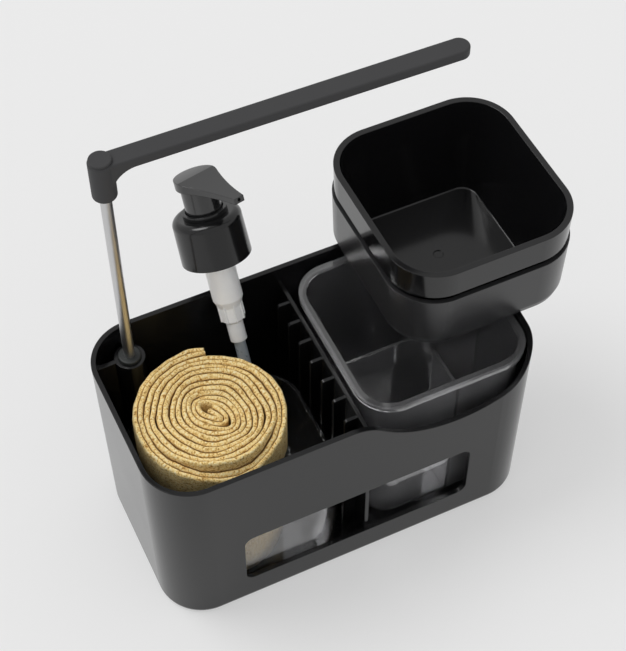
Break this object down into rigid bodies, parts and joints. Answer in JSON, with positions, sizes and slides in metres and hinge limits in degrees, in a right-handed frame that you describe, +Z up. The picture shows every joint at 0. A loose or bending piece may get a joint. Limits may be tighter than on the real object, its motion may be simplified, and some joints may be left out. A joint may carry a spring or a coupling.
{
  "type": "soap pump caddy",
  "caption": "Rounded two-bay vanity caddy with a swivel towel arm on a steel post, lift-out clear cups, stacked black cups, a soap pump and a rolled cloth",
  "frame": {"origin": "middle of the tub's flat base", "axes": "+Z up, +X to the right along the tub's length, -Y to the front wall with the window and the dipped rim"},
  "size_m": [0.2301, 0.1344, 0.2388],
  "materials": {
    "satin_black": "satin",
    "gloss_black": "gloss",
    "steel": "brushed",
    "grommet_rubber": "satin",
    "plug_plastic": "satin",
    "clear_plastic": "clear",
    "milky_plastic": "satin",
    "tube_plastic": "satin",
    "seal_rubber": "satin",
    "cloth": "looped knit"
  },
  "bodies": {
    "caddy": {"caddy_body": "satin_black", "post_tube": "steel", "post_grommet": "grommet_rubber", "post_plug": "plug_plastic", "post_screw": "steel", "top_plug": "plug_plastic", "pivot_washer": "steel", "pivot_screw": "steel"},
    "arm": {"towel_arm": "satin_black", "hub_cap": "satin_black"},
    "container": {"clear_container": "clear_plastic"},
    "cloth": {"rolled_cloth": "cloth"},
    "pump": {"pump_collar": "gloss_black", "pump_guide": "gloss_black", "neck_gasket": "seal_rubber", "pump_chamber": "milky_plastic", "dip_tube": "tube_plastic", "pump_spring": "steel"},
    "piston": {"pump_piston": "milky_plastic"},
    "head": {"pump_head": "gloss_black", "pump_stem": "milky_plastic"},
    "ball": {"inlet_ball": "steel"},
    "cup": {"clear_cup": "clear_plastic"},
    "lower_black_cup": {"outer_cup": "gloss_black"},
    "upper_black_cup": {"inner_cup": "gloss_black"}
  },
  "joints": [
    {"name": "arm_swivel", "type": "hinge", "parent": "caddy", "child": "arm", "pos_m": [-0.0787, 0.0396, 0.22], "axis": [0, 0, 1], "continuous": true},
    {"name": "container_lift", "type": "slide", "parent": "caddy", "child": "container", "axis": [0, 0, 1], "range_m": [0, 0.03]},
    {"name": "cloth_lift", "type": "slide", "parent": "container", "child": "cloth", "axis": [0, 0, 1], "range_m": [0, 0.09]},
    {"name": "pump_lift", "type": "slide", "parent": "container", "child": "pump", "axis": [-0.0175, 0.4383, 0.8987], "range_m": [0, 0.05]},
    {"name": "pump_press", "type": "slide", "parent": "pump", "child": "piston", "axis": [0.0175, -0.4383, -0.8987], "range_m": [0, 0.01], "stiffness_N_per_m": 600, "springref_m": -0.005, "deforming": ["pump_spring"]},
    {"name": "head_turn", "type": "hinge", "parent": "piston", "child": "head", "pos_m": [-0.02612, 0.06643, 0.16126], "axis": [-0.0175, 0.4383, 0.8987], "continuous": true},
    {"name": "ball_lift", "type": "slide", "parent": "pump", "child": "ball", "axis": [-0.0175, 0.4383, 0.8987], "range_m": [0, 0.0015]},
    {"name": "clear_cup_lift", "type": "slide", "parent": "caddy", "child": "cup", "axis": [0, 0, 1], "range_m": [0, 0.035]},
    {"name": "outer_cup_lift", "type": "slide", "parent": "cup", "child": "lower_black_cup", "axis": [0.8, 0, 0.6], "range_m": [0, 0.1]},
    {"name": "inner_cup_lift", "type": "slide", "parent": "lower_black_cup", "child": "upper_black_cup", "axis": [0, 0, 1], "range_m": [0, 0.03]}
  ]
}
